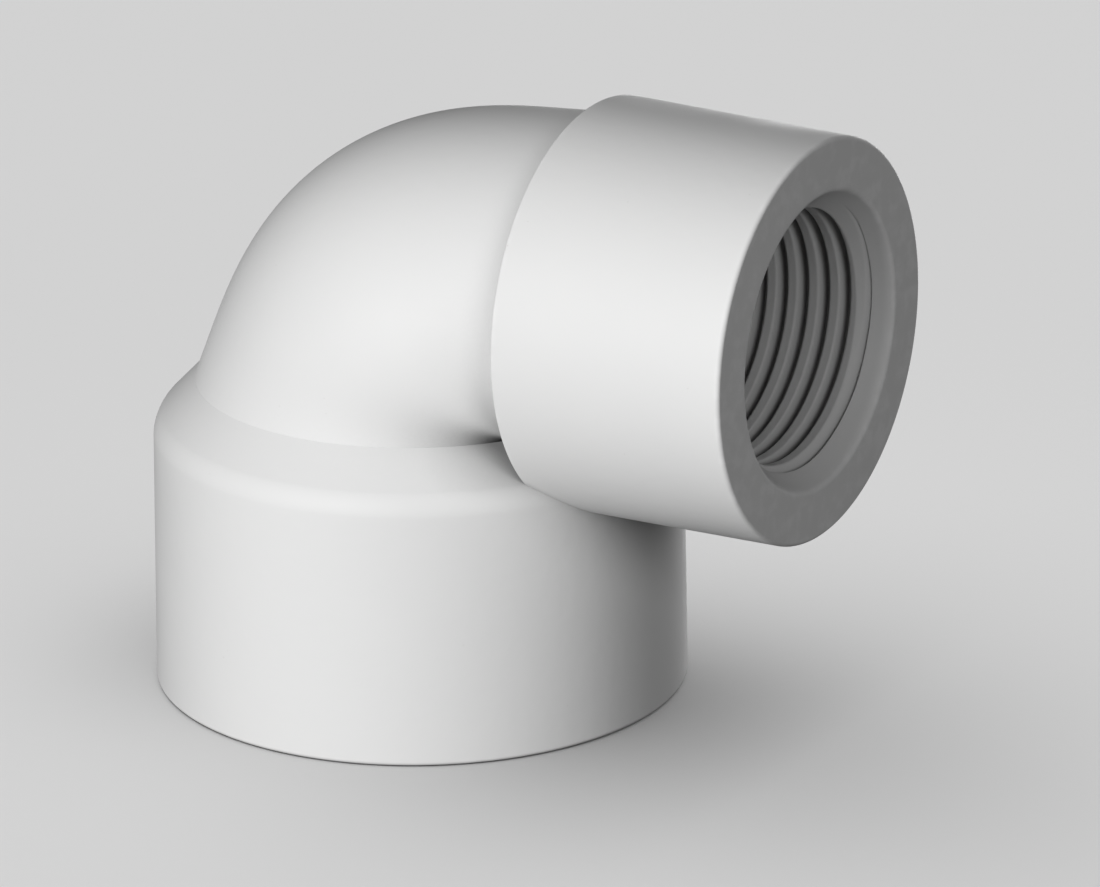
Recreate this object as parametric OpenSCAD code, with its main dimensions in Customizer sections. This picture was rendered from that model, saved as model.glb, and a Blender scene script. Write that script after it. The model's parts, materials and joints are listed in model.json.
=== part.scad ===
// Reducing pipe elbow, 90 degrees: a 1 in slip socket pointing down and a 1/2-14 female
// pipe thread pointing sideways. Millimetres. The origin is the middle of the socket's open
// end, +Z runs up the socket and +X out along the threaded outlet.
// The fitting is one moulding. Each node is one region of it, cut off at a feature line, and
// the regions meet face to face.

/* [Pipe socket] */
// Outside diameter of the socket at its open end
socket_od = 41.7; // [41.4:0.1:42]
// Outside diameter of the socket where the shoulder starts
socket_top_od = 41.1; // [40.8:0.1:41.4]
// Height of the straight outside of the socket
barrel_h = 21; // [20.6:0.1:21.6]
// Diameter of the bore that the pipe slides into
socket_bore_d = 33.46; // [33.3:0.02:33.66]
// Depth of the bore, down to the ledge that stops the pipe
socket_depth = 22.2; // [22:0.1:22.6]
// Width of the small bevels at the rim
rim_bevel = 0.4; // [0.2:0.1:0.4]

/* [Shoulder] */
// Height of the conical shoulder above the barrel
shoulder_h = 3.4; // [3.2:0.1:3.6]
// Outside diameter at the top of the shoulder
shoulder_top_d = 34.5; // [34.2:0.1:34.8]
// Diameter of the waterway through the ledge that stops the pipe
stop_bore_d = 26; // [25.4:0.1:26.4]

/* [Bend] */
// Height of the outlet's axis above the socket's open end
outlet_axis_h = 32.9; // [32.7:0.1:33.2]
// Outside diameter of the bend where it meets the hub
bend_end_d = 29.2; // [28.8:0.1:29.6]
// Pull on the bend's outside in the first half of the turn, as a distance from its pivot line
early_reach = 33.9; // [33.5:0.1:34.3]
// The same in the second half of the turn
late_reach = 21.3; // [20.9:0.1:21.7]
// How far the foot of the bend flares out to meet the shoulder
foot_flare = 4.4; // [4:0.1:4.8]
// How soon the flare dies away
foot_power = 8; // [7:1:10]
// How fast the waterway narrows through the turn
narrowing_power = 1.4; // [1.3:0.05:1.45]
// Number of flat steps in the turn
bend_steps = 15; // [10:1:18]

/* [Outlet] */
// Distance from the socket's axis to the outlet's end face
face_x = 35.6; // [35.6:0.1:36.4]
// Distance from the socket's axis to the back edge of the hub
hub_back_x = 16.3; // [16:0.1:16.6]
// Outside diameter of the hub at its back edge
hub_back_d = 31.7; // [31.4:0.1:32]
// Outside diameter of the hub at its end face
hub_face_d = 31.1; // [30.8:0.1:31.4]
// Diameter of the waterway behind the thread
outlet_bore_d = 16; // [15.6:0.1:16.2]

/* [Thread] */
// Threads to the inch
threads_per_inch = 14; // [14:1:14]
// Diameter over the crests, the smallest that the thread leaves open
thread_crest_d = 19.6; // [19.4:0.1:19.7]
// Diameter at the bottom of the groove
thread_root_d = 21.2; // [21.1:0.1:21.3]
// Length of the threaded wall
thread_l = 14.5; // [14.2:0.1:14.5]
// Diameter of the countersunk mouth
mouth_d = 23; // [22.6:0.1:23.2]
// Depth of the countersink
mouth_depth = 2.4; // [2.2:0.1:2.6]
// Flat steps to a turn of the thread
thread_steps = 30; // [24:2:36]

/* [Hidden] */
pvc = [0.88, 0.88, 0.87];

inch = 25.4;
slack = 1;
round_fn = 96;
bend_fn = 56;
plate = 0.01;
lining_wall = 0.4;

socket_r = socket_od / 2;
socket_top_r = socket_top_od / 2;
socket_bore_r = socket_bore_d / 2;
shoulder_top_r = shoulder_top_d / 2;
shoulder_top_z = barrel_h + shoulder_h;
stop_bore_r = stop_bore_d / 2;

pivot_x = hub_back_x;
pivot_rise = outlet_axis_h - shoulder_top_z;
bend_end_r = bend_end_d / 2;
start_reach = pivot_x + shoulder_top_r;
end_reach = pivot_rise + bend_end_r;
start_share = pivot_x / start_reach;
end_share = pivot_rise / end_reach;
outlet_bore_r = outlet_bore_d / 2;

hub_back_r = hub_back_d / 2;
hub_face_r = hub_face_d / 2;

pitch = inch / threads_per_inch;
crest_r = thread_crest_d / 2;
root_r = thread_root_d / 2;
mouth_r = mouth_d / 2;
lining_r = mouth_r + lining_wall;
thread_back_x = face_x - thread_l;
flank_angle = 30;
root_flat = 0.12;
groove_reach = 0.3;
run_out = 1.6;
thread_turns = (thread_l - run_out) / pitch + 1;

// Distance from the pivot line to the bend's outermost point at a share t of the turn: a cubic
// curve pulled by the two reaches, with the flare of the foot added
function bend_reach(t) =
    (start_reach - foot_flare) * pow(1 - t, 3)
    + 3 * early_reach * t * pow(1 - t, 2)
    + 3 * late_reach * t * t * (1 - t)
    + end_reach * pow(t, 3)
    + foot_flare * pow(1 - t, foot_power);
// Share of the reach that lies before the middle of the section
function centre_share(t) = start_share + (end_share - start_share) * t;
// Distance from the pivot line to the middle of the section, and the section's radius
function bend_centre(t) = bend_reach(t) * centre_share(t);
function bend_r(t) = bend_reach(t) * (1 - centre_share(t));
// The same two for the waterway inside it
function water_r(t) = outlet_bore_r + (stop_bore_r - outlet_bore_r) * pow(1 - t, narrowing_power);
function water_centre(t) = pivot_x + (pivot_rise - pivot_x) * t;

// Stands a shape that is built along Z on the outlet's axis, pointing along +X
module along_outlet() {
    translate([0, 0, outlet_axis_h])
        rotate([0, 90, 0])
            children();
}

// Stands a thin round plate on the bend, at a share t of the turn
module bend_plate(t, centre, r) {
    translate([pivot_x, 0, shoulder_top_z])
        rotate([0, 90 * t, 0])
            translate([-centre, 0, 0])
                cylinder(r = r, h = plate, center = true, $fn = bend_fn);
}

// The quarter of space that the bend fills: above the shoulder, behind the hub
module bend_quarter() {
    far = 2 * socket_od;
    translate([pivot_x - far, -far / 2, shoulder_top_z])
        cube([far, far, far]);
}

// The outside of the bend, filled
module bend_outside() {
    for (k = [0 : bend_steps - 1])
        hull() {
            bend_plate(k / bend_steps, bend_centre(k / bend_steps), bend_r(k / bend_steps));
            bend_plate((k + 1) / bend_steps, bend_centre((k + 1) / bend_steps), bend_r((k + 1) / bend_steps));
        }
}

// The waterway through the bend
module bend_waterway() {
    for (k = [0 : bend_steps - 1])
        hull() {
            bend_plate(k / bend_steps, water_centre(k / bend_steps), water_r(k / bend_steps));
            bend_plate((k + 1) / bend_steps, water_centre((k + 1) / bend_steps), water_r((k + 1) / bend_steps));
        }
}

// Radius of the hub's outside at a distance x from the socket's axis: a slight draft towards the face
function hub_r(x) = hub_back_r + (hub_face_r - hub_back_r) * (x - hub_back_x) / (face_x - hub_back_x);

// The outside of the socket end, filled: it trims whatever grows out of it
module socket_envelope() {
    rotate_extrude($fn = round_fn)
        polygon([
            [0, -slack],
            [socket_r, -slack],
            [socket_r, 0],
            [socket_top_r, barrel_h],
            [shoulder_top_r, shoulder_top_z],
            [0, shoulder_top_z]
        ]);
}

// One turn-by-turn groove for a right-hand thread, as a tool to cut with
module thread_groove() {
    inner_r = crest_r - groove_reach;
    inner_half = root_flat / 2 + (root_r - inner_r) * tan(flank_angle);
    section = [
        [inner_r, -inner_half],
        [root_r, -root_flat / 2],
        [root_r, root_flat / 2],
        [inner_r, inner_half]
    ];
    n = len(section);
    last = ceil(thread_turns * thread_steps);
    points = [
        for (i = [0 : last])
            for (p = section)
                [
                    p[0] * cos(360 * i / thread_steps),
                    p[0] * sin(360 * i / thread_steps),
                    p[1] + pitch * i / thread_steps
                ]
    ];
    sides = [
        for (i = [0 : last - 1])
            for (j = [0 : n - 1])
                let (a = i * n + j, b = i * n + (j + 1) % n)
                    each [[a, b, b + n], [a, b + n, a + n]]
    ];
    first_cap = [for (j = [n - 1 : -1 : 0]) j];
    last_cap = [for (j = [0 : n - 1]) last * n + j];
    polyhedron(points = points, faces = concat(sides, [first_cap, last_cap]));
}

module slip_socket() {
    color(pvc)
        rotate_extrude($fn = round_fn)
            polygon([
                [socket_bore_r + rim_bevel, 0],
                [socket_r - rim_bevel, 0],
                [socket_r, rim_bevel],
                [socket_top_r, barrel_h],
                [socket_bore_r, barrel_h],
                [socket_bore_r, rim_bevel]
            ]);
}

module socket_shoulder() {
    color(pvc)
        rotate_extrude($fn = round_fn)
            polygon([
                [socket_bore_r, barrel_h],
                [socket_top_r, barrel_h],
                [shoulder_top_r, shoulder_top_z],
                [stop_bore_r, shoulder_top_z],
                [stop_bore_r, socket_depth],
                [socket_bore_r, socket_depth]
            ]);
}

module elbow_bend() {
    color(pvc)
        intersection() {
            difference() {
                bend_outside();
                bend_waterway();
            }
            bend_quarter();
        }
}

// The thick wall behind the thread, with the waterway through it
module outlet_back_wall() {
    color(pvc)
        difference() {
            along_outlet()
                rotate_extrude($fn = round_fn)
                    polygon([
                        [outlet_bore_r, hub_back_x],
                        [hub_back_r, hub_back_x],
                        [hub_r(thread_back_x), thread_back_x],
                        [outlet_bore_r, thread_back_x]
                    ]);
            socket_envelope();
        }
}

module outlet_hub() {
    color(pvc)
        along_outlet()
            rotate_extrude($fn = round_fn)
                polygon([
                    [lining_r, thread_back_x],
                    [hub_r(thread_back_x), thread_back_x],
                    [hub_r(face_x - rim_bevel), face_x - rim_bevel],
                    [hub_face_r - rim_bevel, face_x],
                    [lining_r, face_x]
                ]);
}

module outlet_thread() {
    color(pvc)
        difference() {
            along_outlet()
                rotate_extrude($fn = round_fn)
                    polygon([
                        [crest_r, thread_back_x],
                        [lining_r, thread_back_x],
                        [lining_r, face_x],
                        [mouth_r, face_x],
                        [crest_r, face_x - mouth_depth]
                    ]);
            along_outlet()
                translate([0, 0, thread_back_x + run_out])
                    thread_groove();
        }
}

slip_socket();
socket_shoulder();
elbow_bend();
outlet_back_wall();
outlet_hub();
outlet_thread();
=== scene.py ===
"""The looks of a reducing pipe elbow, a single moulding in rigid PVC, shaped region by region.

Lengths are in metres, in the frame's axes: the socket's open end is centred on the origin,
+Z runs up the socket and +X runs out along the threaded outlet.
"""

import json
import logging
import math
from collections.abc import Callable, Iterable, Sequence
from dataclasses import dataclass
from enum import Enum
from typing import Any, ClassVar

import bmesh
import bpy
from bmesh.types import BMEdge, BMesh, BMFace, BMVert
from bpy.types import Collection, Material, Node, NodeSocket, NodeTree, Object
from mathutils import Matrix, Vector

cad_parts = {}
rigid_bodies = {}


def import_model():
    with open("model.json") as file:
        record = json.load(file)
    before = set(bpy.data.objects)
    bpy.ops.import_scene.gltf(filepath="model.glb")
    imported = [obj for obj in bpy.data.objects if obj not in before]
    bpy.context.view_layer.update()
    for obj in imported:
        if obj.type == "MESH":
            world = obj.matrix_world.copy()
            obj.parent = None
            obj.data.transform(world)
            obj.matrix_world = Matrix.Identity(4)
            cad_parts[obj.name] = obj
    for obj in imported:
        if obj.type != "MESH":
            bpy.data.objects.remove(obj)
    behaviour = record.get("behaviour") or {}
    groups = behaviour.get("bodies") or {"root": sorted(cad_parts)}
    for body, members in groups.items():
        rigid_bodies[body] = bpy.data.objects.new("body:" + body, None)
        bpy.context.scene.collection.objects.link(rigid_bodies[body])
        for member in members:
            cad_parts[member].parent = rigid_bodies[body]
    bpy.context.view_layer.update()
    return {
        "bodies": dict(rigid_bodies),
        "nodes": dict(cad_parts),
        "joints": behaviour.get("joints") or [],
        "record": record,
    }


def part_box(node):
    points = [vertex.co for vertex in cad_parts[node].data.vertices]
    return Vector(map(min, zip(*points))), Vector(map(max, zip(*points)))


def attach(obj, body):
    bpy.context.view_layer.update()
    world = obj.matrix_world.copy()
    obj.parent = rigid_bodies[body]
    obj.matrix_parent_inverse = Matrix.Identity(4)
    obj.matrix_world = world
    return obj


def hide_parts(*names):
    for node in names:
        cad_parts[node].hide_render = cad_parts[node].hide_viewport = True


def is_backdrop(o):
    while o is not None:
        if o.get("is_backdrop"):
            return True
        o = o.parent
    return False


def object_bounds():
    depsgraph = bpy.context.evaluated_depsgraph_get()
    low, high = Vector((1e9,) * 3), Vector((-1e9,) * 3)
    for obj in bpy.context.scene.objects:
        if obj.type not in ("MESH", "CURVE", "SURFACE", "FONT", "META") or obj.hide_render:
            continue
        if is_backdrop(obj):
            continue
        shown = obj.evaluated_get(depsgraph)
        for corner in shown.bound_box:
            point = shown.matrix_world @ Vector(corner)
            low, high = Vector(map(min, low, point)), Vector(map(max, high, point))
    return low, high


log = logging.getLogger("elbow")

MM = 0.001
INCH = 25.4 * MM
THREADS_PER_INCH = 14
FULL_TURN = 2 * math.pi
QUARTER_TURN = math.pi / 2
MERGE_GAP = 0.0001 * MM
WELD_GAP = 0.002 * MM
FACES_IN = -0.3
LOOKS_DOWN = -0.9
ROUND = 0.5
KEEP_MATERIAL = -1
BODY = "root"
Colour = tuple[float, float, float, float]
WHITE: Colour = (1, 1, 1, 1)


class Axis(Enum):
    """The two straight axes of the fitting, by the direction each runs in."""

    SOCKET = "z"
    OUTLET = "x"


class Side(Enum):
    """Which half of the mould formed a surface, by its place in a piece's list of materials."""

    CAVITY = 0
    CORE = 1


@dataclass(frozen=True)
class ElbowSizes:
    """The moulding's main sizes: those set by its design, and those taken from the frame."""

    socket_depth: ClassVar[float] = 22.2 * MM
    stop_bore_r: ClassVar[float] = 13 * MM
    outlet_bore_r: ClassVar[float] = 8 * MM
    mouth_r: ClassVar[float] = 11.5 * MM
    mouth_depth: ClassVar[float] = 2.4 * MM
    root_r: ClassVar[float] = 10.6 * MM
    pitch: ClassVar[float] = INCH / THREADS_PER_INCH
    bend_end_r: ClassVar[float] = 14.6 * MM
    early_reach: ClassVar[float] = 33.9 * MM
    late_reach: ClassVar[float] = 21.3 * MM
    foot_flare: ClassVar[float] = 4.4 * MM
    foot_power: ClassVar[float] = 8
    narrowing_power: ClassVar[float] = 1.4

    socket_r: float
    socket_top_r: float
    socket_bore_r: float
    barrel_top_z: float
    shoulder_top_r: float
    shoulder_top_z: float
    outlet_axis_z: float
    hub_back_x: float
    hub_back_r: float
    hub_face_r: float
    thread_back_x: float
    face_x: float
    lining_r: float
    crest_r: float
    rim_bevel: float

    @classmethod
    def from_frame(cls, frame: dict[str, Any]) -> "ElbowSizes":
        """Read the sizes off the frame's boxes and mounts.


        Returns:
            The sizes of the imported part.
        """
        mounts = {mount["name"]: mount for mount in frame["record"]["mounts"]}
        _, socket_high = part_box("slip_socket")
        shoulder_low, shoulder_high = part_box("socket_shoulder")
        bend_low, bend_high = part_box("elbow_bend")
        wall_low, wall_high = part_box("outlet_back_wall")
        hub_low, hub_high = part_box("outlet_hub")
        _, lining_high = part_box("outlet_thread")
        outlet_axis_z = (hub_low.z + hub_high.z) / 2
        socket_wall = mounts["slip_socket"]["dims"]
        rim_bevel = cls.socket_depth - socket_wall["length_mm"] * MM
        hub_front_r = hub_high.y
        wall_back_r = wall_high.z - outlet_axis_z
        draft = (wall_back_r - hub_front_r) / (hub_low.x - wall_low.x)
        return cls(
            socket_r=socket_high.x,
            socket_top_r=shoulder_high.y,
            socket_bore_r=socket_wall["r_mm"] * MM,
            barrel_top_z=shoulder_low.z,
            shoulder_top_r=bend_high.y,
            shoulder_top_z=bend_low.z,
            outlet_axis_z=outlet_axis_z,
            hub_back_x=wall_low.x,
            hub_back_r=wall_back_r,
            hub_face_r=hub_front_r - draft * (hub_high.x - hub_low.x),
            thread_back_x=hub_low.x,
            face_x=hub_high.x,
            lining_r=lining_high.y,
            crest_r=mounts["outlet_thread"]["dims"]["r_mm"] * MM,
            rim_bevel=rim_bevel,
        )

    def hub_r(self, x: float) -> float:
        """Radius of the hub's outside at x, with the draft that lets it leave the mould."""
        share = (x - self.hub_back_x) / (self.face_x - self.hub_back_x)
        return self.hub_back_r + (self.hub_face_r - self.hub_back_r) * share

    @property
    def pivot_rise(self) -> float:
        """Height of the outlet's axis above the line that the bend turns about."""
        return self.outlet_axis_z - self.shoulder_top_z

    @property
    def pivot_x(self) -> float:
        """Distance from the socket's axis to the line that the bend turns about."""
        return self.hub_back_x

    def bend_reach(self, turn: float) -> float:
        """Distance from the pivot line to the bend's outermost point at a share of the turn."""
        left = 1 - turn
        start = self.pivot_x + self.shoulder_top_r
        end = self.pivot_rise + self.bend_end_r
        sweep = (
            (start - self.foot_flare) * left**3
            + 3 * self.early_reach * turn * left**2
            + 3 * self.late_reach * turn**2 * left
            + end * turn**3
        )
        return sweep + self.foot_flare * left**self.foot_power

    def centre_share(self, turn: float) -> float:
        """Share of the reach that lies before the middle of the section."""
        start = self.pivot_x / (self.pivot_x + self.shoulder_top_r)
        end = self.pivot_rise / (self.pivot_rise + self.bend_end_r)
        return start + (end - start) * turn

    def bend_r(self, turn: float) -> float:
        """Outside radius of the bend at a share of the turn."""
        return self.bend_reach(turn) * (1 - self.centre_share(turn))

    def bend_centre(self, turn: float) -> float:
        """Distance from the pivot line to the middle of the bend's outside."""
        return self.bend_reach(turn) * self.centre_share(turn)

    def water_r(self, turn: float) -> float:
        """Radius of the waterway at a share of the turn."""
        spread = self.stop_bore_r - self.outlet_bore_r
        return self.outlet_bore_r + spread * (1 - turn) ** self.narrowing_power

    def water_centre(self, turn: float) -> float:
        """Distance from the pivot line to the middle of the waterway."""
        return self.pivot_x + (self.pivot_rise - self.pivot_x) * turn


@dataclass(frozen=True)
class Corner:
    """A corner of a turned outline: its place along and out from the axis, and its rounding."""

    along: float
    out: float
    soft: float = 0.0


@dataclass(frozen=True)
class Lathe:
    """Turns outlines about one of the fitting's axes."""

    axis: Axis
    centre: Vector
    steps: int = 240
    arc_steps: int = 6

    @property
    def along(self) -> Vector:
        """Direction of the axis."""
        return Vector((0, 0, 1)) if self.axis is Axis.SOCKET else Vector((1, 0, 0))

    @property
    def out(self) -> Vector:
        """Direction in which the outline is drawn before it is turned."""
        return Vector((1, 0, 0)) if self.axis is Axis.SOCKET else Vector((0, 0, 1))

    def point(self, along: float, out: float) -> Vector:
        """Where a point of the outline lies before it is turned."""
        return self.centre + self.along * along + self.out * out

    def draw(self, corners: Sequence[Corner]) -> BMesh:
        """Draw a closed outline and round the corners that ask for it.

        Args:
            corners: the corners in order round the outline.

        Returns:
            A mesh that holds the outline's edges.
        """
        mesh = bmesh.new()
        spots = [mesh.verts.new(self.point(corner.along, corner.out)) for corner in corners]
        mesh.faces.new(spots)
        for corner, spot in zip(corners, spots):
            if corner.soft:
                bmesh.ops.bevel(
                    mesh,
                    geom=[spot],
                    offset=corner.soft,
                    offset_type="OFFSET",
                    segments=self.arc_steps,
                    profile=ROUND,
                    affect="VERTICES",
                    material=KEEP_MATERIAL,
                )
        bmesh.ops.delete(mesh, geom=mesh.faces[:], context="FACES_ONLY")
        return mesh

    def turn(self, corners: Sequence[Corner]) -> BMesh:
        """Turn a closed outline through a full turn.

        Args:
            corners: the corners in order round the outline.

        Returns:
            A closed ring, or a closed solid where the outline touches the axis.
        """
        mesh = self.draw(corners)
        self.revolve(mesh)
        bmesh.ops.dissolve_degenerate(mesh, edges=mesh.edges[:], dist=MERGE_GAP)
        bmesh.ops.recalc_face_normals(mesh, faces=mesh.faces[:])
        return mesh

    def revolve(self, mesh: BMesh) -> None:
        """Turn a mesh's edges through a full turn and weld what meets."""
        bmesh.ops.spin(
            mesh,
            geom=mesh.verts[:] + mesh.edges[:],
            cent=self.centre,
            axis=self.along,
            angle=FULL_TURN,
            steps=self.steps,
            use_merge=True,
        )
        bmesh.ops.remove_doubles(mesh, verts=mesh.verts[:], dist=MERGE_GAP)


class Board:
    """A node tree with short calls for placing nodes and wiring them."""

    def __init__(self, tree: NodeTree) -> None:
        """Start on a tree, which may already hold nodes."""
        self.tree = tree

    def add(self, kind: str, **settings: Any) -> Node:
        """Place a node.

        Args:
            kind: the node's type, without the words that all shader nodes share.
            settings: what to set on the node itself.

        Returns:
            The node.
        """
        node = self.tree.nodes.new("ShaderNode" + kind)
        for name, value in settings.items():
            setattr(node, name, value)
        return node

    def group(self, tree: NodeTree, **values: Any) -> Node:
        """Place a group and set its inputs by name."""
        node = self.add("Group", node_tree=tree)
        self.tune(node, **values)
        return node

    @staticmethod
    def tune(node: Node, **values: Any) -> None:
        """Set a node's inputs by name, with underscores for spaces."""
        for name, value in values.items():
            node.inputs[name.replace("_", " ")].default_value = value

    def math(self, operation: str, first: Any, second: Any = 0.0) -> NodeSocket:
        """Place a sum.

        Args:
            operation: the name of the operation.
            first: a socket or a number.
            second: a socket or a number.

        Returns:
            The socket that holds the answer.
        """
        node = self.add("Math", operation=operation)
        self.feed(first, node.inputs[0])
        self.feed(second, node.inputs[1])
        return node.outputs[0]

    def mix(self, factor: NodeSocket, first: Any, second: Any) -> NodeSocket:
        """Place a blend from one colour, given as a socket or a value, to another."""
        node = self.add("Mix", data_type="RGBA")
        for name, value in (("Factor", factor), ("A", first), ("B", second)):
            self.feed(value, node.inputs[name])
        return node.outputs["Result"]

    def feed(self, value: Any, socket: NodeSocket) -> None:
        """Wire a socket to an input, or set the input to a plain value."""
        if isinstance(value, NodeSocket):
            self.wire(value, socket)
        else:
            socket.default_value = value

    def noise(self, vector: NodeSocket, scale: NodeSocket, **values: Any) -> NodeSocket:
        """Place a noise.

        Args:
            vector: where the noise is read.
            scale: how many lumps it has to a metre.
            values: its other inputs, by name.

        Returns:
            The socket that holds the noise, from 0 to 1.
        """
        node = self.add("TexNoise")
        self.tune(node, **values)
        self.wire(vector, node.inputs["Vector"])
        self.wire(scale, node.inputs["Scale"])
        return node.outputs["Fac"]

    def near(self, distance: NodeSocket, reach: NodeSocket) -> NodeSocket:
        """Place a soft mask that is 1 at no distance and falls to 0 at the reach."""
        node = self.add("MapRange", interpolation_type="SMOOTHSTEP")
        self.tune(node, To_Min=1.0, To_Max=0.0)
        self.wire(distance, node.inputs["Value"])
        self.wire(reach, node.inputs["From Max"])
        return node.outputs["Result"]

    def wire(self, start: NodeSocket, end: NodeSocket) -> None:
        """Join two sockets."""
        self.tree.links.new(start, end)


@dataclass(frozen=True)
class GroupPlan:
    """The name of a shared effect, its inputs with their first values, and its outputs."""

    name: str
    inputs: tuple[tuple[str, str, Any], ...]
    outputs: tuple[tuple[str, str], ...]

    def open(self) -> tuple[Board, Node, Node]:
        """Make the empty group.

        Returns:
            The board, the node that holds its inputs and the node that takes its outputs.
        """
        tree = bpy.data.node_groups.new(self.name, "ShaderNodeTree")
        for name, kind, value in self.inputs:
            socket = tree.interface.new_socket(name, in_out="INPUT", socket_type="NodeSocket" + kind)
            if value is not None:
                socket.default_value = value
        for name, kind in self.outputs:
            tree.interface.new_socket(name, in_out="OUTPUT", socket_type="NodeSocket" + kind)
        board = Board(tree)
        start = tree.nodes.new("NodeGroupInput")
        end = tree.nodes.new("NodeGroupOutput")
        return board, start, end


class Effects:
    """The effects that every finish of the moulding shares, each built once."""

    def __init__(self) -> None:
        """Build the groups."""
        self.tone = self._tone()
        self.skin = self._skin()
        self.core_rings = self._core_rings()
        self.rim_scuff = self._rim_scuff()
        self.painted_crease_shade = self._painted_crease_shade()

    @staticmethod
    def _tone() -> NodeTree:
        """Colour of the compound: soft clouds of two tones, with sparse fine specks."""
        plan = GroupPlan(
            "compound tone",
            (
                ("Vector", "Vector", None),
                ("Light", "Color", (0.8, 0.8, 0.8, 1)),
                ("Deep", "Color", (0.7, 0.7, 0.7, 1)),
                ("Speck", "Color", (0.5, 0.5, 0.5, 1)),
                ("Clouds per metre", "Float", 60.0),
                ("Specks per metre", "Float", 900.0),
                ("Speck share", "Float", 0.06),
                ("Speck rarity", "Float", 0.72),
            ),
            (("Color", "Color"),),
        )
        board, start, end = plan.open()
        vector = start.outputs["Vector"]
        clouds = board.noise(vector, start.outputs["Clouds per metre"], Detail=3.0, Roughness=0.55)
        base = board.mix(clouds, start.outputs["Light"], start.outputs["Deep"])

        cells = board.add("TexVoronoi", feature="F1")
        board.wire(vector, cells.inputs["Vector"])
        board.wire(start.outputs["Specks per metre"], cells.inputs["Scale"])
        near = board.near(cells.outputs["Distance"], start.outputs["Speck share"])
        pick = board.math("GREATER_THAN", cells.outputs["Color"], start.outputs["Speck rarity"])
        speck = board.math("MULTIPLY", near, pick)
        board.wire(board.mix(speck, base, start.outputs["Speck"]), end.inputs["Color"])
        return board.tree

    @staticmethod
    def _skin() -> NodeTree:
        """Skin of the moulding: orange peel under a fine grain, and patches of gloss."""
        plan = GroupPlan(
            "moulded skin",
            (
                ("Vector", "Vector", None),
                ("Peels per metre", "Float", 900.0),
                ("Grains per metre", "Float", 7000.0),
                ("Grain share", "Float", 0.12),
                ("Patches per metre", "Float", 140.0),
                ("Roughness low", "Float", 0.4),
                ("Roughness high", "Float", 0.5),
            ),
            (("Height", "Float"), ("Roughness", "Float")),
        )
        board, start, end = plan.open()
        vector = start.outputs["Vector"]
        peel = board.noise(vector, start.outputs["Peels per metre"], Detail=1.5)
        grain = board.noise(vector, start.outputs["Grains per metre"], Detail=2.0)
        fine = board.math("MULTIPLY", grain, start.outputs["Grain share"])
        board.wire(board.math("ADD", peel, fine), end.inputs["Height"])

        patches = board.noise(vector, start.outputs["Patches per metre"], Detail=4.0)
        gloss = board.add("MapRange")
        board.tune(gloss, From_Min=0.3, From_Max=0.7)
        board.wire(patches, gloss.inputs["Value"])
        board.wire(start.outputs["Roughness low"], gloss.inputs["To Min"])
        board.wire(start.outputs["Roughness high"], gloss.inputs["To Max"])
        board.wire(gloss.outputs["Result"], end.inputs["Roughness"])
        return board.tree

    @staticmethod
    def _core_rings() -> NodeTree:
        """Faint rings that a turned core pin leaves in a bore, uneven along their axis."""
        plan = GroupPlan(
            "core pin rings",
            (("Distance", "Float", 0.0), ("Rings per metre", "Float", 2500.0)),
            (("Height", "Float"),),
        )
        board, start, end = plan.open()
        place = board.math("MULTIPLY", start.outputs["Distance"], start.outputs["Rings per metre"])
        rings = board.add("TexNoise", noise_dimensions="1D")
        board.tune(rings, Scale=1.0, Detail=3.0)
        board.wire(place, rings.inputs["W"])
        board.wire(rings.outputs["Fac"], end.inputs["Height"])
        return board.tree

    @staticmethod
    def _rim_scuff() -> NodeTree:
        """Mask of the light scuffing along an open rim, broken up so that it isn't even."""
        plan = GroupPlan(
            "rim scuff",
            (
                ("Vector", "Vector", None),
                ("Distance", "Float", 0.0),
                ("Width", "Float", 0.0006),
                ("Nicks per metre", "Float", 800.0),
            ),
            (("Mask", "Float"),),
        )
        board, start, end = plan.open()
        near = board.near(board.math("ABSOLUTE", start.outputs["Distance"]), start.outputs["Width"])
        nicks = board.noise(start.outputs["Vector"], start.outputs["Nicks per metre"], Detail=4.0)
        broken = board.add("MapRange", interpolation_type="SMOOTHSTEP")
        board.tune(broken, From_Min=0.42, From_Max=0.7)
        board.wire(nicks, broken.inputs["Value"])
        mask = board.math("MULTIPLY", near, broken.outputs["Result"])
        board.wire(mask, end.inputs["Mask"])
        return board.tree

    @staticmethod
    def _painted_crease_shade() -> NodeTree:
        """Mask of the painted shade laid where surfaces close in on each other, read from ambient
        occlusion.
        """
        plan = GroupPlan(
            "painted crease shade",
            (
                ("Reach", "Float", 0.0035),
                ("Clear", "Float", 0.97),
                ("Full", "Float", 0.25),
                ("Falloff", "Float", 1.6),
            ),
            (("Mask", "Float"),),
        )
        board, start, end = plan.open()
        # Ambient occlusion drives painted shade: colour darkened in creases and recesses where shade
        # falls.
        openness = board.add("AmbientOcclusion", samples=16)
        board.wire(start.outputs["Reach"], openness.inputs["Distance"])
        closing = board.add("MapRange")
        board.wire(openness.outputs["AO"], closing.inputs["Value"])
        board.wire(start.outputs["Clear"], closing.inputs["From Min"])
        board.wire(start.outputs["Full"], closing.inputs["From Max"])
        mask = board.math("POWER", closing.outputs["Result"], start.outputs["Falloff"])
        board.wire(mask, end.inputs["Mask"])
        return board.tree


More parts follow.
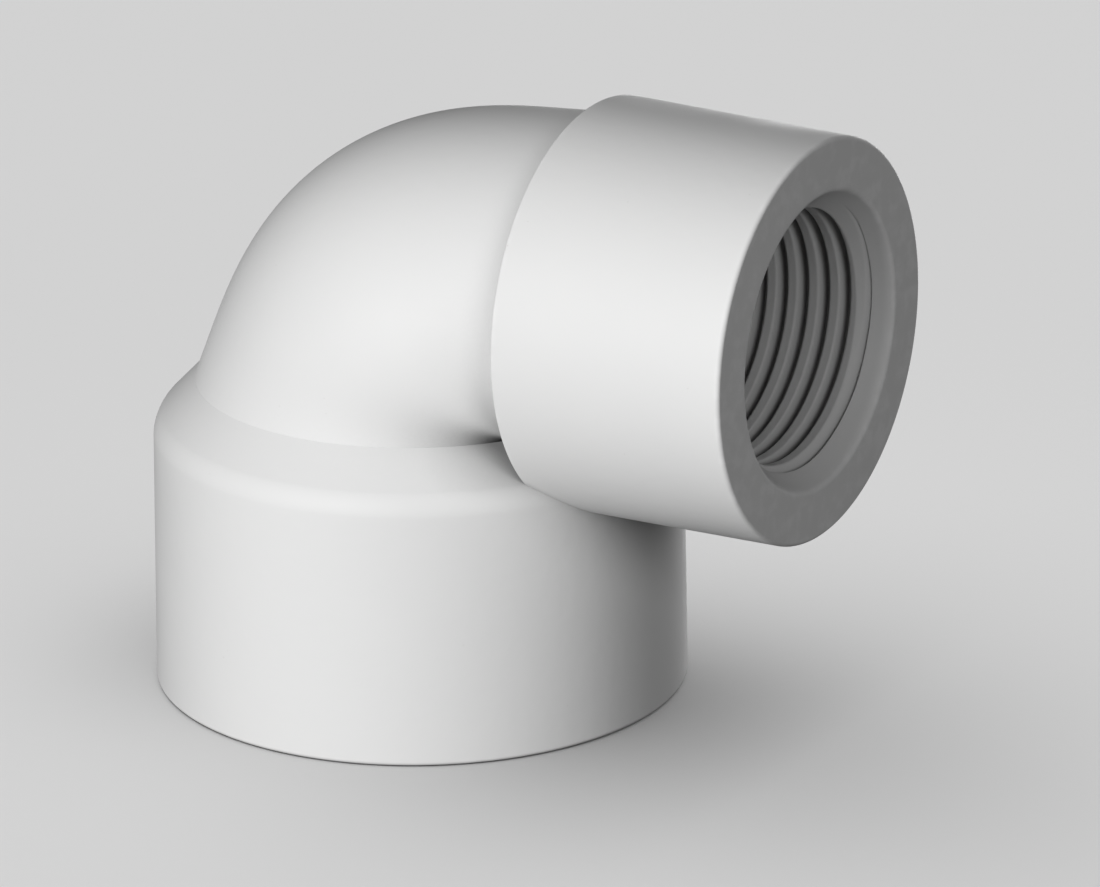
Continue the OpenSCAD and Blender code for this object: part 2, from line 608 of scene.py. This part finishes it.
@dataclass(frozen=True)
class PvcFinish:
    """Rigid PVC as it leaves the mould: off-white and satin, with painted shade darkening it where it is
    closed in.

    The rim is the open edge that gets scuffed, and the rings are those that a core pin leaves.
    """

    name: str
    light: Colour = (0.83, 0.83, 0.825, 1)
    deep: Colour = (0.795, 0.797, 0.797, 1)
    speck: Colour = (0.62, 0.61, 0.58, 1)
    scuffed: Colour = (0.87, 0.87, 0.87, 1)
    # Colour, reach and falloff of the painted shade that darkens creases and recesses.
    painted_shade: Colour = (0.2, 0.2, 0.2, 1)
    scuff_dulling: float = 0.2
    shade_reach: float = 1.2 * MM
    shade_falloff: float = 1.6
    roughness_low: float = 0.48
    roughness_high: float = 0.6
    peel_depth: float = 0.012 * MM
    ring_depth: float = 0.0
    ring_axis: str = "Z"
    rim_axis: str = "Z"
    rim_at: float = 0.0
    gloss: float = 0.22

    def build(self, effects: Effects) -> Material:
        """Make the material.

        Args:
            effects: the shared effects.

        Returns:
            The material, which reads object coordinates only.
        """
        material = bpy.data.materials.new(self.name)
        material.use_nodes = True
        board = Board(material.node_tree)
        shader = material.node_tree.nodes["Principled BSDF"]
        place = board.add("TexCoord")
        mapping = board.add("Mapping")
        board.wire(place.outputs["Object"], mapping.inputs["Vector"])
        vector = mapping.outputs["Vector"]
        parts = board.add("SeparateXYZ")
        board.wire(place.outputs["Object"], parts.inputs["Vector"])

        tone = board.group(effects.tone, Light=self.light, Deep=self.deep, Speck=self.speck)
        board.wire(vector, tone.inputs["Vector"])
        skin = board.group(
            effects.skin, Roughness_low=self.roughness_low, Roughness_high=self.roughness_high
        )
        board.wire(vector, skin.inputs["Vector"])
        scuff = board.group(effects.rim_scuff)
        board.wire(vector, scuff.inputs["Vector"])
        from_rim = board.math("SUBTRACT", parts.outputs[self.rim_axis], self.rim_at)
        board.wire(from_rim, scuff.inputs["Distance"])

        colour = board.mix(scuff.outputs["Mask"], tone.outputs["Color"], self.scuffed)
        # Painted shade: the base colour is darkened where ambient occlusion finds the surface closed in.
        shade_mask = board.group(effects.painted_crease_shade, Reach=self.shade_reach, Falloff=self.shade_falloff)
        shaded_colour = board.mix(shade_mask.outputs["Mask"], colour, self.painted_shade)
        board.wire(shaded_colour, shader.inputs["Base Color"])
        dulled = board.math("MULTIPLY", scuff.outputs["Mask"], self.scuff_dulling)
        board.wire(board.math("ADD", skin.outputs["Roughness"], dulled), shader.inputs["Roughness"])
        board.tune(shader, Specular_IOR_Level=self.gloss)

        bump = board.add("Bump")
        board.tune(bump, Distance=self.peel_depth)
        board.wire(skin.outputs["Height"], bump.inputs["Height"])
        if self.ring_depth:
            rings = board.group(effects.core_rings)
            board.wire(parts.outputs[self.ring_axis], rings.inputs["Distance"])
            turned = board.add("Bump")
            board.tune(turned, Distance=self.ring_depth)
            board.wire(rings.outputs["Height"], turned.inputs["Height"])
            board.wire(bump.outputs["Normal"], turned.inputs["Normal"])
            bump = turned
        board.wire(bump.outputs["Normal"], shader.inputs["Normal"])
        return material


@dataclass
class Region:
    """One region of the moulding: a closed solid that stands for its node in the frame."""

    node: ClassVar[str] = ""
    sizes: ElbowSizes
    finishes: tuple[Material, Material]
    crease_angle: float = math.radians(32)
    size_weight: int = 100

    @property
    def up_socket(self) -> Lathe:
        """The lathe that turns about the socket's axis."""
        return Lathe(Axis.SOCKET, Vector((0, 0, 0)))

    @property
    def along_outlet(self) -> Lathe:
        """The lathe that turns about the outlet's axis."""
        return Lathe(Axis.OUTLET, Vector((0, 0, self.sizes.outlet_axis_z)))

    def shape(self) -> BMesh:
        """Shape the region's solid."""
        raise NotImplementedError

    def cutters(self) -> Iterable[BMesh]:
        """Solids to take away from the region; most regions need none."""
        return ()

    def faces_core(self, face: BMFace) -> bool:
        """Whether a face was formed by a core pin and not by the mould's cavity."""
        raise NotImplementedError

    def build(self) -> Object:
        """Make the piece, dress it and tie it to the frame.

        Returns:
            The finished piece.
        """
        piece = solid_object(self.node + "_moulded", self.shape())
        for mesh in self.cutters():
            cut(piece, solid_object("cutter", mesh))
        self.dress(piece)
        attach(piece, BODY)
        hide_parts(self.node)
        return piece

    def dress(self, piece: Object) -> None:
        """Give the piece its two finishes and its shading.

        Args:
            piece: the piece, with its final mesh.
        """
        for material in self.finishes:
            piece.data.materials.append(material)
        mesh = bmesh.new()
        mesh.from_mesh(piece.data)
        for face in mesh.faces:
            side = Side.CORE if self.faces_core(face) else Side.CAVITY
            face.material_index = side.value
            face.smooth = True
        mesh.to_mesh(piece.data)
        mesh.free()
        piece.data.set_sharp_from_angle(angle=self.crease_angle)
        shading = piece.modifiers.new("even shading", "WEIGHTED_NORMAL")
        shading.keep_sharp = True
        shading.weight = self.size_weight


def solid_object(name: str, mesh: BMesh) -> Object:
    """Turn a finished mesh into an object at the origin.

    Args:
        name: the object's name.
        mesh: the mesh, in the frame's axes; it is freed.

    Returns:
        The object, in the scene.
    """
    data = bpy.data.meshes.new(name)
    mesh.to_mesh(data)
    mesh.free()
    item = bpy.data.objects.new(name, data)
    bpy.context.scene.collection.objects.link(item)
    return item


def cut(piece: Object, cutter: Object) -> None:
    """Take one solid away from another for good.

    Args:
        piece: what is cut.
        cutter: what is taken away; it is removed afterwards.
    """
    step = piece.modifiers.new("cut", "BOOLEAN")
    step.operation = "DIFFERENCE"
    step.solver = "EXACT"
    step.object = cutter
    graph = bpy.context.evaluated_depsgraph_get()
    result = bpy.data.meshes.new_from_object(piece.evaluated_get(graph), depsgraph=graph)
    old = piece.data
    piece.modifiers.clear()
    piece.data = result
    result.name = piece.name
    bpy.data.meshes.remove(old)
    tool = cutter.data
    bpy.data.objects.remove(cutter)
    bpy.data.meshes.remove(tool)


@dataclass
class SlipSocket(Region):
    """The barrel that the pipe is welded into, up to just below the shoulder's soft edge."""

    node: ClassVar[str] = "slip_socket"
    rim_soft: float = 0.35 * MM
    bore_soft: float = 0.1 * MM

    def shape(self) -> BMesh:
        """Turn the barrel's wall."""
        size = self.sizes
        top_z, top_r = barrel_joint(size)
        return self.up_socket.turn(
            [
                Corner(0, size.socket_bore_r + size.rim_bevel, self.bore_soft),
                Corner(0, size.socket_r, self.rim_soft),
                Corner(top_z, top_r),
                Corner(top_z, size.socket_bore_r),
                Corner(size.rim_bevel, size.socket_bore_r, self.bore_soft),
            ]
        )

    def faces_core(self, face: BMFace) -> bool:
        """The bore faces the axis."""
        lathe = self.up_socket
        return faces_axis(face, lathe.centre, lathe.along)


def barrel_joint(size: ElbowSizes) -> tuple[float, float]:
    """Height and outside radius of the plane where the barrel meets the shoulder's piece.

    It lies a little below the shoulder, so that the soft edge is all in the shoulder's piece.
    """
    drop = 1.8 * MM
    z = size.barrel_top_z - drop
    share = z / size.barrel_top_z
    return z, size.socket_r + (size.socket_top_r - size.socket_r) * share


def faces_axis(face: BMFace, centre: Vector, along: Vector) -> bool:
    """Whether a face looks in towards an axis.

    Args:
        face: the face.
        centre: a point on the axis.
        along: the axis's direction.

    Returns:
        True if the face's normal points inwards.
    """
    arm = face.calc_center_median() - centre
    arm -= along * arm.dot(along)
    return face.normal.dot(arm.normalized()) < FACES_IN


@dataclass
class SocketShoulder(Region):
    """The cone that closes in over the end of the pipe, with the ledge that stops the pipe."""

    node: ClassVar[str] = "socket_shoulder"
    edge_soft: float = 1.1 * MM
    ledge_soft: float = 0.25 * MM

    def shape(self) -> BMesh:
        """Turn the shoulder's wall, its ledge and its soft lower edge."""
        size = self.sizes
        low_z, low_r = barrel_joint(size)
        return self.up_socket.turn(
            [
                Corner(low_z, size.socket_bore_r),
                Corner(low_z, low_r),
                Corner(size.barrel_top_z, size.socket_top_r, self.edge_soft),
                Corner(size.shoulder_top_z, size.shoulder_top_r),
                Corner(size.shoulder_top_z, size.stop_bore_r),
                Corner(size.socket_depth, size.stop_bore_r, self.ledge_soft),
                Corner(size.socket_depth, size.socket_bore_r, self.ledge_soft),
            ]
        )

    def faces_core(self, face: BMFace) -> bool:
        """The bore, the ledge and the waterway face the axis or look down."""
        lathe = self.up_socket
        is_ledge = face.normal.z < LOOKS_DOWN and face.calc_center_median().z > self.sizes.barrel_top_z
        return is_ledge or faces_axis(face, lathe.centre, lathe.along)


def socket_envelope(size: ElbowSizes, lathe: Lathe, edge_soft: float) -> BMesh:
    """The outside of the socket end, filled and a hair small, to trim what grows out of it.

    Args:
        size: the moulding's sizes.
        lathe: the lathe that turned the socket.
        edge_soft: the rounding of the shoulder's lower edge.

    Returns:
        The solid.
    """
    hair = 0.04 * MM
    below = -MM
    return lathe.turn(
        [
            Corner(below, 0),
            Corner(below, size.socket_r - hair),
            Corner(0, size.socket_r - hair),
            Corner(size.barrel_top_z, size.socket_top_r - hair, edge_soft),
            Corner(size.shoulder_top_z - hair, size.shoulder_top_r - hair),
            Corner(size.shoulder_top_z - hair, 0),
        ]
    )


@dataclass
class ElbowBend(Region):
    """The curved wall of the turn: a fan of round sections about the pivot line."""

    node: ClassVar[str] = "elbow_bend"
    turn_steps: int = 96
    arc_steps: int = 144
    throat_gap: float = 0.02 * MM

    def place(self, turn: float, away: float, side: float) -> Vector:
        """Where a point of a section lies.

        Args:
            turn: the share of the turn at which the section stands.
            away: the point's distance from the pivot line, in the section's plane.
            side: how far it lies to the side of the fitting's middle plane.

        Returns:
            The point.
        """
        swing = QUARTER_TURN * turn
        return Vector(
            (
                self.sizes.pivot_x - away * math.cos(swing),
                side,
                self.sizes.shoulder_top_z + away * math.sin(swing),
            )
        )

    def outside(self, turn: float) -> list[Vector]:
        """Points round the outside of a section, cut off at the pivot line."""
        centre = self.sizes.bend_centre(turn)
        radius = self.sizes.bend_r(turn)
        reach = math.acos((self.throat_gap - centre) / radius)
        angles = [reach * (2 * step / self.arc_steps - 1) for step in range(self.arc_steps + 1)]
        return [self.place(turn, centre + radius * math.cos(a), radius * math.sin(a)) for a in angles]

    def inside(self, turn: float) -> list[Vector]:
        """Points round the waterway of a section."""
        centre = self.sizes.water_centre(turn)
        radius = self.sizes.water_r(turn)
        angles = [FULL_TURN * step / self.arc_steps for step in range(self.arc_steps)]
        return [self.place(turn, centre + radius * math.cos(a), radius * math.sin(a)) for a in angles]

    def sweep(self, mesh: BMesh, outline: Callable[[float], list[Vector]]) -> list[BMEdge]:
        """Extrude an outline round the turn, setting each new ring on its own section.

        Args:
            mesh: the mesh to build in.
            outline: gives the points of the outline at a share of the turn.

        Returns:
            The edges of the first ring and of the last one.
        """
        ring = [mesh.verts.new(point) for point in outline(0)]
        edges = [mesh.edges.new((a, b)) for a, b in zip(ring, ring[1:] + ring[:1])]
        first = list(edges)
        for step in range(1, self.turn_steps + 1):
            made = bmesh.ops.extrude_edge_only(mesh, edges=edges)["geom"]
            fresh = set(only(made, BMVert))
            ring = [other_end(vert, fresh) for vert in ring]
            edges = [mesh.edges.get((a, b)) for a, b in zip(ring, ring[1:] + ring[:1])]
            for vert, point in zip(ring, outline(step / self.turn_steps)):
                vert.co = point
        return first + edges

    def shape(self) -> BMesh:
        """Sweep the outside and the waterway, and close both ends."""
        mesh = bmesh.new()
        rims = self.sweep(mesh, self.outside) + self.sweep(mesh, self.inside)
        for at_start in (True, False):
            loops = [e for e in rims if self.stands_at_start(e) is at_start]
            bmesh.ops.triangle_fill(mesh, edges=loops, use_beauty=True)
        bmesh.ops.recalc_face_normals(mesh, faces=mesh.faces[:])
        return mesh

    def stands_at_start(self, edge: BMEdge) -> bool:
        """Whether an edge of a rim belongs to the level section over the shoulder."""
        return all(vert.co.z < self.sizes.shoulder_top_z + MERGE_GAP for vert in edge.verts)

    def faces_core(self, face: BMFace) -> bool:
        """The waterway faces the curve that runs through the middle of it."""
        size = self.sizes
        spot = face.calc_center_median()
        turn = math.atan2(spot.z - size.shoulder_top_z, size.pivot_x - spot.x) / QUARTER_TURN
        away = size.water_centre(min(max(turn, 0), 1))
        middle = self.place(turn, away, 0)
        return face.normal.dot((spot - middle).normalized()) < FACES_IN


def only(made: Iterable[Any], kind: type) -> list[Any]:
    """Those of the things just made that are of one kind."""
    return [item for item in made if isinstance(item, kind)]


def other_end(vert: BMVert, fresh: set[BMVert]) -> BMVert:
    """The vertex that an extrusion made from this one."""
    return next(edge.other_vert(vert) for edge in vert.link_edges if edge.other_vert(vert) in fresh)


@dataclass
class OutletBackWall(Region):
    """The thick wall behind the thread, with the hub's crisp back edge, trimmed to the socket."""

    node: ClassVar[str] = "outlet_back_wall"
    back_edge_soft: float = 0.2 * MM
    bore_soft: float = 0.2 * MM

    def shape(self) -> BMesh:
        """Turn the wall."""
        size = self.sizes
        return self.along_outlet.turn(
            [
                Corner(size.hub_back_x, size.outlet_bore_r),
                Corner(size.hub_back_x, size.hub_back_r, self.back_edge_soft),
                Corner(size.thread_back_x, size.hub_r(size.thread_back_x)),
                Corner(size.thread_back_x, size.outlet_bore_r, self.bore_soft),
            ]
        )

    def cutters(self) -> Iterable[BMesh]:
        """The socket end's own outside."""
        yield socket_envelope(self.sizes, self.up_socket, SocketShoulder.edge_soft)

    def faces_core(self, face: BMFace) -> bool:
        """The waterway faces the outlet's axis, close to it."""
        lathe = self.along_outlet
        arm = face.calc_center_median() - lathe.centre
        near = math.hypot(arm.y, arm.z) < self.sizes.lining_r
        return near and faces_axis(face, lathe.centre, lathe.along)


@dataclass
class OutletHub(Region):
    """The outside wall of the threaded end."""

    node: ClassVar[str] = "outlet_hub"
    face_soft: float = 0.35 * MM

    def shape(self) -> BMesh:
        """Turn the hub's wall."""
        size = self.sizes
        return self.along_outlet.turn(
            [
                Corner(size.thread_back_x, size.lining_r),
                Corner(size.thread_back_x, size.hub_r(size.thread_back_x)),
                Corner(size.face_x, size.hub_face_r, self.face_soft),
                Corner(size.face_x, size.lining_r),
            ]
        )

    def faces_core(self, face: BMFace) -> bool:
        """Nothing of the hub's wall touches a core pin."""
        return False


@dataclass
class OutletThread(Region):
    """The wall that carries the thread, with its countersunk mouth.

    The groove's opening, its bottom and its softened corners are shares of the pitch or flank.
    """

    node: ClassVar[str] = "outlet_thread"
    turn_steps: int = 144
    rows: int = 28
    opening_share: float = 0.573
    root_share: float = 0.066
    corner_share: float = 0.16
    run_out: float = 1.6 * MM
    mouth_soft: float = 0.25 * MM
    mouth_steps: int = 4

    def depth(self, phase: float) -> float:
        """Depth of the groove below the crests at a share of the pitch, with softened corners.

        Args:
            phase: where in the pitch, from 0 to 1, with the groove's middle at 0.5.

        Returns:
            The depth as a share of the whole, from 0 to 1.
        """
        off = abs(phase - 0.5)
        flank = (self.opening_share - self.root_share) / 2
        climb = (self.opening_share / 2 - off) / flank
        soft = self.corner_share
        if climb <= -soft:
            return 0.0
        if climb < soft:
            return (climb + soft) ** 2 / (4 * soft)
        if climb < 1 - soft:
            return climb
        if climb < 1 + soft:
            return 1 - (1 + soft - climb) ** 2 / (4 * soft)
        return 1.0

    def wall_r(self, x: float, angle: float) -> float:
        """Radius of the inside wall: thread, run-out and countersink.

        Args:
            x: place along the outlet.
            angle: angle round the outlet's axis, right-handed about +X.

        Returns:
            The radius.
        """
        size = self.sizes
        phase = ((x - size.thread_back_x - self.run_out) / size.pitch - angle / FULL_TURN) % 1
        started = min(max((x - size.thread_back_x) / self.run_out, 0), 1)
        thread = size.crest_r + (size.root_r - size.crest_r) * self.depth(phase) * started
        mouth_share = (x - size.face_x + size.mouth_depth) / size.mouth_depth
        mouth = size.crest_r + (size.mouth_r - size.crest_r) * mouth_share
        return max(thread, mouth)

    def shape(self) -> BMesh:
        """Screw one pitch of the wall through a turn, lay turns end to end, trim and form them."""
        size = self.sizes
        lathe = self.along_outlet
        laps = math.ceil((size.face_x - size.thread_back_x) / size.pitch) + 2
        start = size.thread_back_x - size.pitch
        mesh = bmesh.new()
        ends = [mesh.verts.new(lathe.point(start + step * size.pitch, size.crest_r)) for step in (-1, 0)]
        edge = mesh.edges.new(ends)
        bmesh.ops.subdivide_edges(mesh, edges=[edge], cuts=self.rows - 1)
        bmesh.ops.spin(
            mesh,
            geom=mesh.verts[:] + mesh.edges[:],
            cent=lathe.centre,
            axis=lathe.along,
            dvec=lathe.along * (size.pitch / self.turn_steps),
            angle=FULL_TURN,
            steps=self.turn_steps,
        )
        first_lap = mesh.verts[:] + mesh.edges[:] + mesh.faces[:]
        for lap in range(1, laps):
            made = bmesh.ops.duplicate(mesh, geom=first_lap)["geom"]
            bmesh.ops.translate(mesh, vec=lathe.along * (size.pitch * lap), verts=only(made, BMVert))
        bmesh.ops.remove_doubles(mesh, verts=mesh.verts[:], dist=WELD_GAP)
        for x, forward in ((size.face_x - self.mouth_soft, 1), (size.thread_back_x, -1)):
            bmesh.ops.bisect_plane(
                mesh,
                geom=mesh.verts[:] + mesh.edges[:] + mesh.faces[:],
                dist=MERGE_GAP,
                plane_co=lathe.point(x, 0),
                plane_no=lathe.along * forward,
                clear_outer=True,
            )
        for vert in mesh.verts:
            arm = vert.co - lathe.centre
            angle = math.atan2(-arm.y, arm.z)
            flat = Vector((0, arm.y, arm.z)).normalized()
            vert.co = lathe.centre + lathe.along * arm.x + flat * self.wall_r(arm.x, angle)
        self.close(mesh)
        return mesh

    def mouth_edge(self, share: float) -> tuple[float, float]:
        """Place along the outlet and radius of the soft edge between countersink and end face.

        Args:
            share: 0 on the countersink, 1 on the end face.

        Returns:
            The place and the radius.
        """
        size = self.sizes
        slope = (size.mouth_r - size.crest_r) / size.mouth_depth
        spots = (
            Vector((size.face_x - self.mouth_soft, size.mouth_r - slope * self.mouth_soft)),
            Vector((size.face_x, size.mouth_r)),
            Vector((size.face_x, size.mouth_r + self.mouth_soft)),
        )
        first = spots[0].lerp(spots[1], share)
        second = spots[1].lerp(spots[2], share)
        return tuple(first.lerp(second, share))

    def widen(self, mesh: BMesh, rim: Sequence[BMEdge], x: float, radius: float) -> list[BMEdge]:
        """Extrude a rim to a ring at another place and radius.

        Args:
            mesh: the mesh that holds the rim.
            rim: the rim's edges.
            x: where along the outlet the new ring stands.
            radius: the new ring's radius.

        Returns:
            The new ring's edges.
        """
        lathe = self.along_outlet
        made = bmesh.ops.extrude_edge_only(mesh, edges=rim)["geom"]
        for vert in only(made, BMVert):
            arm = vert.co - lathe.centre
            vert.co = lathe.point(x, 0) + Vector((0, arm.y, arm.z)).normalized() * radius
        return only(made, BMEdge)

    def close(self, mesh: BMesh) -> None:
        """Give the thread's skin its soft mouth, its two end faces and its hidden outer wall."""
        size = self.sizes
        cut_x = size.face_x - self.mouth_soft - MERGE_GAP
        open_edges = [edge for edge in mesh.edges if edge.is_boundary]
        mouth = [edge for edge in open_edges if edge.verts[0].co.x > cut_x]
        back = [edge for edge in open_edges if edge.verts[0].co.x < cut_x]
        for step in range(1, self.mouth_steps + 1):
            mouth = self.widen(mesh, mouth, *self.mouth_edge(step / self.mouth_steps))
        mouth = self.widen(mesh, mouth, size.face_x, size.lining_r)
        back = self.widen(mesh, back, size.thread_back_x, size.lining_r)
        bmesh.ops.bridge_loops(mesh, edges=mouth + back)
        bmesh.ops.recalc_face_normals(mesh, faces=mesh.faces[:])

    def faces_core(self, face: BMFace) -> bool:
        """The thread and its mouth face the outlet's axis."""
        lathe = self.along_outlet
        return faces_axis(face, lathe.centre, lathe.along)


@dataclass(frozen=True)
class Lamp:
    """A soft square lamp that faces the fitting, by where it stands and how much light it gives.

    level is how bright a pure white surface that faces the lamp turns out.
    """

    name: str
    azimuth: float
    elevation: float
    distance: float
    width: float
    level: float

    def build(self, target: Vector, lit: Collection) -> Object:
        """Hang the lamp.

        Args:
            target: what the lamp faces.
            lit: the objects that it lights.

        Returns:
            The lamp.
        """
        data = bpy.data.lights.new(self.name, "AREA")
        data.shape = "SQUARE"
        data.size = self.width
        data.energy = math.pi**2 * self.level * self.distance**2
        lamp = bpy.data.objects.new(self.name, data)
        bpy.context.scene.collection.objects.link(lamp)
        towards = direction(self.azimuth, self.elevation)
        lamp.location = target + towards * self.distance
        lamp.rotation_euler = towards.to_track_quat("Z", "Y").to_euler()
        lamp.light_linking.receiver_collection = lit
        return lamp


def direction(azimuth: float, elevation: float) -> Vector:
    """The way towards an azimuth and an elevation in degrees, with azimuth 0 in front, at -Y."""
    turn = math.radians(azimuth)
    climb = math.radians(elevation)
    return Vector(
        (math.sin(turn) * math.cos(climb), -math.cos(turn) * math.cos(climb), math.sin(climb))
    )


@dataclass(frozen=True)
class Viewpoint:
    """Where the camera stands and what its middle points at."""

    azimuth: float = 31.1523
    elevation: float = 19.8923
    roll: float = 0.556
    distance: float = 554.36 * MM
    aim_right: float = 10.0 * MM
    aim_up: float = 17.416 * MM
    lens: float = 230.88
    film: float = 36.0
    nearest: float = 0.01
    farthest: float = 20.0

    def build(self) -> Object:
        """Set up the camera and make it the scene's own."""
        data = bpy.data.cameras.new("camera")
        data.lens = self.lens
        data.sensor_width = self.film
        data.clip_start = self.nearest
        data.clip_end = self.farthest
        camera = bpy.data.objects.new("camera", data)
        bpy.context.scene.collection.objects.link(camera)
        back = direction(self.azimuth, self.elevation)
        level_right = Vector((0, 0, 1)).cross(back).normalized()
        level_up = back.cross(level_right)
        lean = math.radians(self.roll)
        right = level_right * math.cos(lean) - level_up * math.sin(lean)
        up = level_right * math.sin(lean) + level_up * math.cos(lean)
        spot = right * self.aim_right + up * self.aim_up + back * self.distance
        turn = Matrix((right, up, back)).transposed()
        camera.matrix_world = Matrix.Translation(spot) @ turn.to_4x4()
        bpy.context.scene.camera = camera
        return camera


@dataclass(frozen=True)
class Studio:
    """A pale floor that curves up into a wall all round, and soft lamps."""

    floor_tone: Colour = (0.8, 0.8, 0.8, 1)
    floor_roughness: float = 0.9
    floor_gloss: float = 0.1
    floor_z: float = -0.02 * MM
    floor_r: float = 1.4
    curve_r: float = 0.5
    wall_h: float = 1.8
    curve_steps: int = 12
    turn_steps: int = 96
    ambient: float = 0.04
    key: Lamp = Lamp("key", azimuth=-6, elevation=16, distance=0.8, width=0.27, level=0.87)
    fill: Lamp = Lamp("fill", azimuth=58, elevation=20, distance=0.8, width=0.3, level=0.2)
    back: Lamp = Lamp("back", azimuth=192, elevation=-3, distance=0.8, width=0.5, level=0.5)
    floor_lamp: Lamp = Lamp("floor_lamp", azimuth=-150, elevation=84, distance=1.0, width=2.2, level=2.0)

    def build(self, pieces: Sequence[Object]) -> None:
        """Build the floor, the lamps and the faint light that comes from everywhere.

        Args:
            pieces: the pieces of the fitting.
        """
        floor = self.build_floor()
        fitting_lit = self.gather("lit_fitting", pieces)
        floor_lit = self.gather("lit_floor", [floor])
        low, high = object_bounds()
        middle = (low + high) / 2
        for lamp in (self.key, self.fill, self.back):
            lamp.build(middle, fitting_lit)
        self.floor_lamp.build(middle, floor_lit)
        world = bpy.data.worlds.new("studio")
        world.use_nodes = True
        Board.tune(world.node_tree.nodes["Background"], Color=WHITE, Strength=self.ambient)
        bpy.context.scene.world = world
        bpy.context.scene.view_settings.view_transform = "Standard"

    @staticmethod
    def gather(name: str, items: Iterable[Object]) -> Collection:
        """Put objects in a collection that lamps are linked to."""
        group = bpy.data.collections.new(name)
        for item in items:
            group.objects.link(item)
        return group

    def build_floor(self) -> Object:
        """Turn the floor and its wall, and give them their finish."""
        path = [(self.floor_z, 0)]
        for step in range(self.curve_steps + 1):
            swing = QUARTER_TURN * step / self.curve_steps
            up = self.floor_z + self.curve_r * (1 - math.cos(swing))
            path.append((up, self.floor_r + self.curve_r * math.sin(swing)))
        path.append((self.wall_h, self.floor_r + self.curve_r))
        lathe = Lathe(Axis.SOCKET, Vector((0, 0, 0)), steps=self.turn_steps)
        mesh = bmesh.new()
        spots = [mesh.verts.new(lathe.point(up, out)) for up, out in path]
        for ends in zip(spots, spots[1:]):
            mesh.edges.new(ends)
        lathe.revolve(mesh)
        for face in mesh.faces:
            face.smooth = True
        floor = solid_object("floor", mesh)
        material = bpy.data.materials.new("floor")
        material.use_nodes = True
        Board.tune(
            material.node_tree.nodes["Principled BSDF"],
            Base_Color=self.floor_tone,
            Roughness=self.floor_roughness,
            Specular_IOR_Level=self.floor_gloss,
        )
        floor.data.materials.append(material)
        floor.visible_diffuse = False
        floor.visible_glossy = False
        floor.visible_shadow = False
        floor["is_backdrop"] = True
        return floor


def main() -> None:
    """Build the fitting round the frame, then the studio."""
    logging.basicConfig(level=logging.INFO, format="%(message)s")
    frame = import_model()
    sizes = ElbowSizes.from_frame(frame)
    effects = Effects()
    socket_core = PvcFinish("pvc_socket_core", ring_depth=0.004 * MM).build(effects)
    # The bore gets deep painted shade that darkens the thread far into the outlet.
    outlet_core = PvcFinish(
        "pvc_outlet_core",
        ring_depth=0.003 * MM,
        ring_axis="X",
        rim_axis="X",
        rim_at=sizes.face_x,
        painted_shade=(0.3, 0.3, 0.3, 1),
        shade_reach=15 * MM,
    ).build(effects)
    outlet_cavity = PvcFinish("pvc_outlet_cavity_side", rim_axis="X", rim_at=sizes.face_x).build(effects)
    back_edge = PvcFinish("pvc_hub_back_edge", rim_axis="X", rim_at=sizes.hub_back_x).build(effects)
    # Painted shade darkens the socket's outside under the hub and beside the bend.
    socket_cavity = PvcFinish(
        "pvc_socket_outside", painted_shade=(0.25, 0.25, 0.25, 1), shade_reach=7 * MM, shade_falloff=1.2
    ).build(effects)
    # Heavy painted shade darkens the bend's outside into the throat crease.
    bend_cavity = PvcFinish(
        "pvc_bend_outside", painted_shade=(0.03, 0.03, 0.03, 1), shade_reach=9 * MM, shade_falloff=1.15
    ).build(effects)
    regions: list[Region] = [
        SlipSocket(sizes, (socket_cavity, socket_core)),
        SocketShoulder(sizes, (socket_cavity, socket_core)),
        ElbowBend(sizes, (bend_cavity, socket_core)),
        OutletBackWall(sizes, (back_edge, outlet_core)),
        OutletHub(sizes, (outlet_cavity, outlet_core)),
        OutletThread(sizes, (outlet_cavity, outlet_core)),
    ]
    pieces = []
    for region in regions:
        piece = region.build()
        pieces.append(piece)
        log.info("%s: %d faces", piece.name, len(piece.data.polygons))
    Viewpoint().build()
    Studio().build(pieces)


if __name__ == "__main__":
    main()
